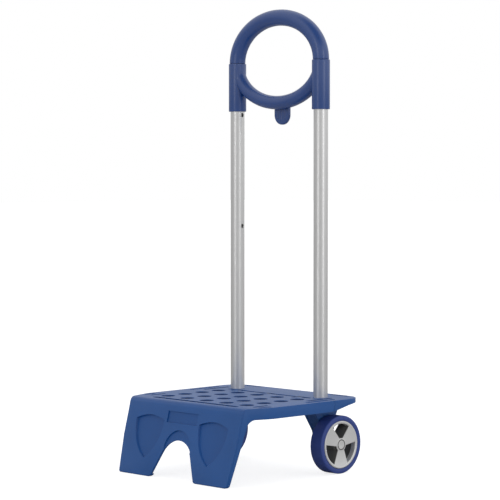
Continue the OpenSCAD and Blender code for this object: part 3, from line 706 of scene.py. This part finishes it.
# %% Drills and slot cutters
def drain_cutter(x, y):
    """A drill for one hole, with a wider mouth."""
    shank = rod("drill", (x, y, SKIRT_LOW - 20), (x, y, DECK_TOP - 0.8), HOLE_R, sides=40)
    pick(shank)
    bpy.ops.object.mode_set(mode="EDIT")
    bpy.ops.mesh.select_all(action="DESELECT")
    bpy.ops.object.mode_set(mode="OBJECT")
    for face in shank.data.polygons:
        face.select = face.normal.z > 0.9
    bpy.ops.object.mode_set(mode="EDIT")
    bpy.ops.mesh.extrude_region_move(TRANSFORM_OT_translate={"value": (0, 0, 2.0 * MM)})
    bpy.ops.transform.resize(value=(1.06, 1.06, 1), center_override=(x * MM, y * MM, DECK_TOP * MM))
    bpy.ops.object.mode_set(mode="OBJECT")
    return shank


def slot_cutter(start, end, width, depth):
    """A slot with round ends from start to end, (x, y), cut to a depth below the surface."""
    start, end = Vector(start), Vector(end)
    along = (end - start).normalized()
    side = Vector((-along.y, along.x)) * width / 2
    tip = along * width / 2
    corners = [start - tip - side, end + tip - side, end + tip + side, start - tip + side]
    cutter = prism("slot", [(c.x, c.y, width * 0.49) for c in corners], "XY", DECK_TOP - depth, DECK_TOP + 2)
    return cutter


def grip_slots():
    """The short slots at both sides and the rear rim's grooves."""
    cutters = []
    for s in (-1, 1):
        cutters += [slot_cutter((s * 112, -50), (s * 112, 0), SLOT_W, SLOT_D),
                    slot_cutter((s * 126, -66), (s * 126, -10), SLOT_W, SLOT_D),
                    slot_cutter((s * 112, -162), (s * 112, -138), SLOT_W, SLOT_D),
                    slot_cutter((s * 124, -163), (s * 126.5, -146), SLOT_W, SLOT_D),
                    slot_cutter((s * 76, REAR_EDGE - 8), (s * 112, REAR_EDGE - 8), 5, SLOT_D)]
    return cutters


def seam_slot():
    """The long slot that hides the fold."""
    return slot_cutter((-MAST_X + 3, SEAM_Y + 1), (MAST_X - 3, SEAM_Y + 1), 7, 3.5)


SLOT_W, SLOT_D = 6.5, 3.0
drills = gather([drain_cutter(x, y) for x in hole_columns for y in hole_rows], "drills")
combine(platform, drills, "DIFFERENCE")
front_slot = slot_cutter((-MAST_X + 3, -177), (MAST_X - 3, -177), 9, SLOT_D)
combine(platform, front_slot, "DIFFERENCE")
combine(platform, gather(grip_slots(), "grip_slots"), "DIFFERENCE")
combine(platform, seam_slot(), "DIFFERENCE")
print("platform faces after cutting:", len(platform.data.polygons))

# %% [markdown]
# The foot's front has two leaf-shaped panels, a plain badge panel and a shallow arch over the
# cut-out. Their cutters are flat outlines pulled back into the raked front. The leaf is drawn
# from four arcs that meet at its corners.

# %% Panels of the foot
def arc(start, end, sag, steps=9):
    """Points of an arc from start up to end, bulging by sag to the right of the way."""
    start, end = Vector(start), Vector(end)
    chord = (end - start).length
    radius = (chord ** 2 / 4 + sag ** 2) / (2 * sag)
    along = (end - start) / chord
    out = Vector((along.y, -along.x))
    centre = (start + end) / 2 + out * (sag - radius)
    half = math.asin(chord / 2 / radius)
    turns = [half * (2 * i / steps - 1) for i in range(steps)]
    return [centre + radius * (out * math.cos(t) + along * math.sin(t)) for t in turns]


def leaf_points(shrink=0.0):
    """One leaf panel on the right-hand side of the foot, as (x, z)."""
    low, outer, peak, inner = (69, 24), (101, 83), (69, 90.5), (37, 84)
    points = arc(low, outer, 9) + arc(outer, peak, 1.6) + arc(peak, inner, 1.6) + arc(inner, low, 9)
    middle = Vector((69, 62))
    return [p + (middle - p).normalized() * shrink for p in points]


def panel_cutter(name, points, depth, slope):
    """A recess of this depth in the raked front, with sloping walls."""
    cutter = outline(name, [(p[0], p[1], 0) for p in points], "XZ", 0)
    for vertex in cutter.data.vertices:
        z = vertex.co.z / MM
        vertex.co.y = (-FRONT_EDGE - (DECK_TOP - z) * LEAN - 3) * MM
    pick(cutter)
    bpy.ops.object.mode_set(mode="EDIT")
    bpy.ops.mesh.select_all(action="SELECT")
    bpy.ops.mesh.extrude_region_move(TRANSFORM_OT_translate={"value": (0, (3 + depth) * MM, 0)})
    centre = sum((v for v in map(Vector, points)), Vector((0, 0))) / len(points)
    bpy.ops.transform.resize(value=(slope, 1, slope), center_override=(centre.x * MM, 0, centre.y * MM))
    bpy.ops.mesh.select_all(action="SELECT")
    bpy.ops.mesh.normals_make_consistent(inside=False)
    bpy.ops.object.mode_set(mode="OBJECT")
    return cutter


for s in (-1, 1):
    leaf = [(s * p.x, p.y) for p in leaf_points()]
    combine(platform, panel_cutter("leaf", leaf, 3.2, 0.93), "DIFFERENCE")
badge = [(-33, 81.6), (33, 81.6), (33, 98.3), (-33, 98.3)]
combine(platform, panel_cutter("badge", badge, 1.8, 0.985), "DIFFERENCE")
brow = [(30 * math.cos(t), 43 + 30 * math.sin(t)) for t in [math.tau * i / 40 for i in range(40)]]
combine(platform, panel_cutter("brow", brow, 1.8, 0.95), "DIFFERENCE")
tidy(platform)
print("panels cut, faces:", len(platform.data.polygons))

# %% [markdown]
# The hinge beam has three pockets for the lugs of the rear bed, and a bore for the pin.

# %% Hinge pockets
LUG_W, LUG_X = 12.0, 66.0
lug_spots = (-LUG_X, 0.0, LUG_X)
for x in lug_spots:
    combine(platform, slab("pocket", (x - LUG_W / 2 - 0.4, HINGE_Y - 7.5, SKIRT_LOW - 5),
                           (x + LUG_W / 2 + 0.4, 0, DECK_TOP + 5)), "DIFFERENCE")
swing = [(HINGE_Y, SKIRT_LOW - 3, 0), (HINGE_Y, SKIRT_LOW, 0), (SEAM_Y + 1, SKIRT_LOW + 4.8, 0),
         (SEAM_Y + 1, SKIRT_LOW - 3, 0)]
combine(platform, prism("swing_room", swing, "YZ", -MAST_X - 18, MAST_X + 18), "DIFFERENCE")
combine(platform,
        rod("reamer", (-HALF_W - 10, HINGE_Y, HINGE_Z), (81, HINGE_Y, HINGE_Z), 2.55, 24), "DIFFERENCE")
smooth(platform, 28)
hand_over(platform, "platform", "moulded_blue", platform_blue, "deck")

# %% [markdown]
# ## The rear bed
# The mast and both wheels are carried by the short part of the deck behind the fold. It is
# hollowed from below, and a thick front wall stays at the fold, where the platform bears on it.

# %% Hollow of the rear bed
trough = prism("trough", plan_corners(WALL), "XY", 20, DECK_TOP - WALL)
room_view = [(SEAM_Y + 9, DECK_TOP, 0), (REAR_EDGE, DECK_TOP, 0), (REAR_EDGE, 10, 0), (SEAM_Y + 9, 10, 0)]
combine(trough, prism("side", room_view, "YZ", -160, 160), "INTERSECT")
combine(rear_bed, trough, "DIFFERENCE")
print("rear bed faces:", len(rear_bed.data.polygons))

# %% [markdown]
# Each bracket is two side walls of one outline with the mast's socket between them, a sloping
# front wall and a round boss for the stub axle.

# %% Wheel brackets
BRACKET_IN, BRACKET_OUT = MAST_X - 9.5, MAST_X + 17
BOSS_R = 11.0
SOCKET_R = MAST_R + 3.5
SOCKET_LOW = AXLE_Z + 24
SHELF_Z = SKIRT_LOW - 0.2
bracket_view = [(-32, SHELF_Z, 0), (-8, AXLE_Z + 15.6, 5), (-7.6, AXLE_Z - 3, 0), (7.6, AXLE_Z - 3, 0),
                (16, SKIRT_LOW - 12, 5), (20.5, SKIRT_LOW - 3, 4), (28, SKIRT_LOW + REAR_RISE, 0),
                (28, DECK_TOP - 2, 0), (SEAM_Y + 3, DECK_TOP - 2, 0), (SEAM_Y + 3, SHELF_Z, 0)]
front_view = [(-31.2, SHELF_Z, 0), (SEAM_Y + 2, SHELF_Z, 0), (SEAM_Y + 2, SKIRT_LOW - 4, 0),
              (-25.5, SKIRT_LOW - 4, 1), (-3.8, AXLE_Z + 16.6, 3), (-3.8, AXLE_Z + 6, 0),
              (-7.3, AXLE_Z + 6, 0), (-7.3, AXLE_Z + 15.8, 5)]


def wall(start, end, view):
    """One moulded wall across X, with softened rims."""
    return soften(prism("wall", view, "YZ", start, end), 0.7, angle=40, segments=2)


for s in (-1, 1):
    for start in (BRACKET_IN, BRACKET_OUT - 4):
        ends = sorted((s * start, s * (start + 4)))
        combine(rear_bed, wall(*ends, bracket_view), "UNION")
    ends = sorted((s * (BRACKET_IN + 1), s * (BRACKET_OUT - 1)))
    combine(rear_bed, prism("front", front_view, "YZ", *ends), "UNION")
    combine(rear_bed,
            rod("boss", (s * BRACKET_IN, 0, AXLE_Z), (s * BRACKET_OUT, 0, AXLE_Z), BOSS_R, 56, 0.9), "UNION")
    combine(rear_bed,
            rod("socket", (s * MAST_X, 0, SOCKET_LOW), (s * MAST_X, 0, DECK_TOP - 2), SOCKET_R, 56, 1.0),
            "UNION")
print("with brackets:", len(rear_bed.data.polygons), "faces")

# %% [markdown]
# Lugs, ribs, the tube sockets and the slots finish the bed.

# %% Lugs, ribs and bores of the rear bed
for x in lug_spots:
    lug = [(HINGE_Y - 5, DECK_TOP, 4.9), (HINGE_Y - 5, DECK_TOP - 10, 4.9), (SEAM_Y + 5, DECK_TOP - 10, 0),
           (SEAM_Y + 5, DECK_TOP, 0)]
    combine(rear_bed, prism("lug", lug, "YZ", x - LUG_W / 2, x + LUG_W / 2), "UNION")
for x in (-MAST_X - 20, -MAST_X + 20, MAST_X - 20, MAST_X + 20):
    combine(rear_bed,
            slab("rib", (x - 1.5, SEAM_Y + 8, SKIRT_LOW + 10.5), (x + 1.5, REAR_EDGE - 2, DECK_TOP - 1.3)),
            "UNION")
combine(rear_bed, slab("rib", (-MAST_X, -2, SKIRT_LOW + 6), (MAST_X, 1, DECK_TOP - 1.7)), "UNION")
for s in (-1, 1):
    combine(rear_bed,
            rod("bore", (s * MAST_X, 0, SOCKET_LOW + 4), (s * MAST_X, 0, DECK_TOP + 5), MAST_R + 0.05, 64),
            "DIFFERENCE")
    combine(rear_bed,
            rod("bore", (s * (BRACKET_IN + 3), 0, AXLE_Z), (s * (BRACKET_OUT + 5), 0, AXLE_Z), 4.0, 32),
            "DIFFERENCE")
combine(rear_bed, gather(grip_slots(), "grip_slots"), "DIFFERENCE")
lug_gaps = sorted(x + s * LUG_W / 2 for x in lug_spots for s in (-1, 1))
slot_ends = [-MAST_X + 3] + lug_gaps + [MAST_X - 3]
for low, high in zip(slot_ends[0::2], slot_ends[1::2]):
    combine(rear_bed,
            slab("slot", (low, SEAM_Y - 2.5, DECK_TOP - 3.5), (high, SEAM_Y + 4.5, DECK_TOP + 2)),
            "DIFFERENCE")
tidy(rear_bed)
smooth(rear_bed, 28)
hand_over(rear_bed, "mast", "moulded_blue", platform_blue, "rear_frame")

# %% [markdown]
# ## The hand ring
# The ring's two halves follow half ellipses. A Bezier curve with a round bevel is the natural
# tool for a bent tube: three points, with handles of 0.5523 of the radii, give the ellipse.

# %% Ring halves
KAPPA = 0.5523


def bent_tube(name, half_span, rise, radius, z_base, down=False, lead=0.0):
    """A round tube along a half ellipse, made a mesh; lead is not used."""
    deselect()
    bpy.ops.curve.primitive_bezier_curve_add()
    obj = bpy.context.object
    obj.name = name
    curve = obj.data
    curve.dimensions = "3D"
    curve.bevel_depth = radius * MM
    curve.bevel_resolution = 12
    curve.resolution_u = 40
    curve.use_fill_caps = True
    way = -1 if down else 1
    points = curve.splines[0].bezier_points
    points.add(1)
    places = [(-half_span, 0), (0, rise), (half_span, 0)]
    arms = [(0, KAPPA * rise), (KAPPA * half_span, 0), (0, -KAPPA * rise)]
    for point, (x, z), (dx, dz) in zip(points, places, arms):
        point.handle_left_type = point.handle_right_type = "FREE"
        centre = Vector((x, 0, z_base + way * z)) * MM
        reach = Vector((dx, 0, way * dz)) * MM
        point.co = centre
        point.handle_left = centre - reach
        point.handle_right = centre + reach
    bpy.ops.object.convert(target="MESH")
    obj = bpy.context.object
    bpy.ops.object.transform_apply(location=True, rotation=True, scale=True)
    bpy.ops.object.mode_set(mode="EDIT")
    bpy.ops.mesh.select_all(action="SELECT")
    bpy.ops.mesh.remove_doubles(threshold=0.00001)
    bpy.ops.mesh.normals_make_consistent(inside=False)
    bpy.ops.object.mode_set(mode="OBJECT")
    return obj


GRIP_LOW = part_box("grip")[0].z / MM
GRIP_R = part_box("grip")[1].y / MM
GRIP_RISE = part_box("grip")[1].z / MM - GRIP_R - GRIP_LOW
grip = bent_tube("ring_grip", MAST_X, GRIP_RISE, GRIP_R, GRIP_LOW)
soften(grip, 0.7, angle=60, segments=3)
for s in (-1, 1):
    combine(grip,
            rod("bore", (s * MAST_X, 0, GRIP_LOW - 5), (s * MAST_X, 0, GRIP_LOW + 20), 8.02, 48),
            "DIFFERENCE")
smooth(grip, 40)
hand_over(grip, "handle", "ring_blue", ring_plastic, "grip")

# %% [markdown]
# The lower half grows out of two collars. The collars are rods with rounded rims, and a union
# makes one body of them and the arch, as the mould does. The bores and the tab's room are cut
# after that.

# %% Collars and lower half
ARCH_R, ARCH_DROP = 10.5, 62.3
COLLAR_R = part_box("ring_yoke")[1].x / MM - MAST_X
collars = bent_tube("ring_collars", MAST_X, ARCH_DROP, ARCH_R, RING_Z - 0.5, down=True)
for s in (-1, 1):
    sleeve = rod("sleeve", (s * MAST_X, 0, COLLAR_LOW), (s * MAST_X, 0, RING_Z), COLLAR_R, 72, 0.9)
    combine(collars, sleeve, "UNION")
LEVER_Y, LEVER_Z, LEVER_W = 9.25, RING_Z - ARCH_DROP + 1.5, 31.0
for s in (-1, 1):
    ear_in, ear_out = s * (LEVER_W / 2 + 0.4), s * (LEVER_W / 2 + 4.4)
    combine(collars,
            rod("ear", (ear_in, LEVER_Y, LEVER_Z), (ear_out, LEVER_Y, LEVER_Z), 6.0, 40, 0.8), "UNION")
tidy(collars)
for s in (-1, 1):
    combine(collars,
            rod("bore", (s * MAST_X, 0, COLLAR_LOW - 5), (s * MAST_X, 0, RING_Z + 5), MAST_R + 0.03, 64),
            "DIFFERENCE")
combine(collars, rod("bore", (-16, LEVER_Y, LEVER_Z), (16, LEVER_Y, LEVER_Z), 5.0, 40), "DIFFERENCE")
combine(collars, slab("room", (-15.9, LEVER_Y - 3.15, COLLAR_LOW - 20), (15.9, 30, LEVER_Z)), "DIFFERENCE")
combine(collars, rod("bore", (-25, LEVER_Y, LEVER_Z), (25, LEVER_Y, LEVER_Z), 1.5, 24), "DIFFERENCE")
smooth(collars, 35)
hand_over(collars, "mast", "ring_blue", ring_plastic, "ring_yoke")

# %% [markdown]
# ## The strap lever
# A small fluted tab hangs behind the lower half of the ring and pinches the bag's loop.

# %% Strap lever
LEVER_T, LEVER_L = 5.5, 36.0
tip_r = LEVER_W / 2
tip_z = LEVER_Z - LEVER_L + tip_r
half_t = LEVER_T / 2
lever_side = [(tip_r, LEVER_Z, 0)] + [
    (tip_r * math.cos(t), tip_z - tip_r * math.sin(t), 0) for t in [math.pi * i / 24 for i in range(25)]] + [
    (-tip_r, LEVER_Z, 0)]
lever = prism("strap_tab", lever_side, "XZ", LEVER_Y - half_t, LEVER_Y + half_t)
tidy(lever)
soften(lever, 1.2, angle=40, segments=3)
combine(lever,
        rod("barrel", (-tip_r + 0.1, LEVER_Y, LEVER_Z), (tip_r - 0.1, LEVER_Y, LEVER_Z), 4.6, 40, 0.6),
        "UNION")
for i in range(-1, 2):
    x = i * LEVER_W / 4.2
    low = tip_z - 9.5 + 2.5 * abs(i)
    flute_y = LEVER_Y - half_t - 0.9
    flute = rod("flute", (x, flute_y, low), (x, flute_y, low + 24), 2.0, 24, 1.2)
    combine(lever, flute, "DIFFERENCE")
combine(lever, rod("bore", (-20, LEVER_Y, LEVER_Z), (20, LEVER_Y, LEVER_Z), 1.55, 24), "DIFFERENCE")
combine(lever, slab("room", (-5, LEVER_Y - 6, LEVER_Z - 4), (5, LEVER_Y + 6, LEVER_Z + 6)), "DIFFERENCE")
smooth(lever, 35)
hand_over(lever, "lever", "ring_blue", ring_plastic, "strap_lever")

# %% [markdown]
# ## The wheels
# Round parts are spun: half a profile is drawn beside the axis and spun all the way round. The
# tyre's profile has soft shoulders, and the core's rim is a ring with slightly rounded corners.

# %% Spinning a profile
def spun(name, corners, steps=96):
    """A ring spun about the right wheel's axis from a closed profile of (x, radius, rounding)."""
    obj = outline(name, [(x, AXLE_Z + r, rounding) for x, r, rounding in corners], "XZ", 0)
    pick(obj)
    bpy.ops.object.mode_set(mode="EDIT")
    bpy.ops.mesh.select_all(action="SELECT")
    bpy.ops.mesh.delete(type="ONLY_FACE")
    bpy.ops.mesh.select_all(action="SELECT")
    bpy.ops.mesh.spin(steps=steps, angle=math.tau, center=(0, 0, AXLE_Z * MM), axis=(1, 0, 0))
    bpy.ops.mesh.select_all(action="SELECT")
    bpy.ops.mesh.remove_doubles(threshold=0.00001)
    bpy.ops.mesh.normals_make_consistent(inside=False)
    bpy.ops.object.mode_set(mode="OBJECT")
    return obj


WHEEL_R = 44.0
BEAD_R = WHEEL_R - 7.6
tyre = spun("tyre_tread_right", [
    (TYRE_IN + 1.2, BEAD_R, 0.5), (TYRE_IN, WHEEL_R - 3.0, 2.4), (TYRE_IN + 1.2, WHEEL_R, 1.1),
    (TYRE_OUT - 1.2, WHEEL_R, 1.1), (TYRE_OUT, WHEEL_R - 3.0, 2.4), (TYRE_OUT - 1.2, BEAD_R, 0.5)])
smooth(tyre, 50)

# %% [markdown]
# The grey core and the silver cap share three wedge-shaped spokes, one pointing down. The spoke's
# outline is drawn once, pulled to its depth, and copied round by a turn of a third.

# %% Spokes
CORE_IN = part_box("wheel_core_right")[0].x / MM
CAP_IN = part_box("wheel_cap_right")[1].x / MM - 2.2
RIM_BORE = BEAD_R - 3.4
HUB_R, BUTTON_R = 11.0, 9.3
SPOKE_HALF = math.radians(26)
LIP_T, LIP_DEPTH = 1.2, 7.0


def spoke(start, end, root, tip, turn, name="spoke"):
    """One wedge, from start to end along the axis; turn is counted from straight down."""
    half = [SPOKE_HALF * i / 4 for i in range(-4, 5)]
    rim = [(tip * math.sin(a), -tip * math.cos(a)) for a in half]
    flat = [(-root, 0)] + rim + [(root, 0)]
    corners = [(y * math.cos(turn) - z * math.sin(turn), AXLE_Z + y * math.sin(turn) + z * math.cos(turn), 0)
               for y, z in flat]
    return prism(name, corners, "YZ", start, end)


thirds = [math.tau * k / 3 for k in range(3)]
core = spun("wheel_body_right", [
    (CORE_IN, RIM_BORE, 0.4), (CORE_IN, BEAD_R, 0.3), (CAP_IN, BEAD_R, 0.3), (CAP_IN, RIM_BORE, 0.3)])
combine(core, rod("hub", (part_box("wheel_bush_right")[0].x / MM, 0, AXLE_Z),
                  (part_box("wheel_bush_right")[1].x / MM, 0, AXLE_Z), HUB_R, 56, 0.6), "UNION")
for turn in thirds:
    combine(core, spoke(CORE_IN + 1, CAP_IN - 0.2, 3.6, RIM_BORE + 1.2, turn), "UNION")
combine(core, rod("bore", (CORE_IN - 10, 0, AXLE_Z), (CAP_IN + 5, 0, AXLE_Z), 6.0, 40), "DIFFERENCE")
SEAT_IN, SEAT_LOW, SEAT_HIGH = CAP_IN - LIP_DEPTH - 0.2, RIM_BORE - LIP_T - 0.2, RIM_BORE + 0.1
seat = spun("seat", [(SEAT_IN, SEAT_LOW, 0), (SEAT_IN, SEAT_HIGH, 0),
                     (CAP_IN + 2, SEAT_HIGH, 0), (CAP_IN + 2, SEAT_LOW, 0)])
combine(core, seat, "DIFFERENCE")
tidy(core)
smooth(core, 35)
print("core faces:", len(core.data.polygons))

# %% [markdown]
# The cap is a thin dish with a raised rim, three spokes and a button. The spokes get softened
# edges, because silver paint shows every edge as a bright line.

# %% Wheel cap
cap = spun("wheel_trim_right", [
    (CAP_IN - LIP_DEPTH, RIM_BORE - LIP_T, 0.2), (CAP_IN - LIP_DEPTH, RIM_BORE - 0.1, 0.2),
    (CAP_IN, RIM_BORE - 0.1, 0), (CAP_IN, BEAD_R - 0.4, 0.3), (CAP_IN + 1.8, BEAD_R - 0.4, 0.7),
    (CAP_IN + 2.2, BEAD_R - 1.8, 0.7), (CAP_IN + 1.6, RIM_BORE - LIP_T + 0.6, 0.5),
    (CAP_IN + 0.9, RIM_BORE - LIP_T, 0.3)])
for turn in thirds:
    blade = spoke(CAP_IN + 0.1, CAP_IN + 1.7, 3.6, RIM_BORE + 0.6, turn)
    soften(blade, 0.45, angle=50, segments=2)
    combine(cap, blade, "UNION")
hub_ring = rod("hub_ring", (CAP_IN + 0.05, 0, AXLE_Z), (CAP_IN + 2.1, 0, AXLE_Z), BUTTON_R + 0.8, 56, 0.7)
combine(cap, hub_ring, "UNION")
trench = spun("trench", [(CAP_IN + 1.1, BUTTON_R - 2.6, 0), (CAP_IN + 1.1, BUTTON_R - 1.3, 0),
                         (CAP_IN + 4, BUTTON_R - 1.1, 0), (CAP_IN + 4, BUTTON_R - 2.8, 0)])
combine(cap, trench, "DIFFERENCE")
combine(cap, rod("room", (CAP_IN - 2, 0, AXLE_Z), (CAP_IN + 0.9, 0, AXLE_Z), 7.4, 40), "DIFFERENCE")
combine(cap, rod("dish", (CAP_IN + 1.75, 0, AXLE_Z), (CAP_IN + 4, 0, AXLE_Z), 4.6, 40, 0.3), "DIFFERENCE")
tidy(cap)
smooth(cap, 35)
print("cap faces:", len(cap.data.polygons))

# %% Both wheels
wheel_pieces = [(tyre, "tyre_tread", "tyre", "tyre_blue", rubber),
                (core, "wheel_body", "wheel_core", "wheel_grey", core_grey),
                (cap, "wheel_trim", "wheel_cap", "wheel_silver", silver)]
for piece, name, node, slot, material in wheel_pieces:
    twin = mirrored(piece, name + "_left")
    smooth(twin, 35)
    hand_over(piece, "wheel_right", slot, material, node + "_right")
    hand_over(twin, "wheel_left", slot, material, node + "_left")

# %% [markdown]
# ## The pieces that keep their exact shape
# Tubes, pins, screws, bushes and springs come from the frame. Only their finish changes, by
# putting a new material in each object's slots.

# %% Finishes of the frame's own pieces
finish_by_slot = {"tube_aluminium": aluminium, "steel": steel, "guide_nylon": guide_grey,
                  "bush_acetal": bush_white, "moulded_blue": platform_blue, "ring_blue": ring_plastic,
                  "wheel_silver": silver, "wheel_grey": core_grey, "tyre_blue": rubber}
slot_of = {part["node"]: part["material_slot"] for part in frame["record"]["subparts"]}
for name, obj in frame["nodes"].items():
    finish = finish_by_slot[slot_of[name]]
    if not obj.material_slots:
        obj.data.materials.append(finish)
    for material_slot in obj.material_slots:
        material_slot.material = finish
print("finished", len(frame["nodes"]), "frame pieces")

# %% Leave object mode with nothing selected
deselect()
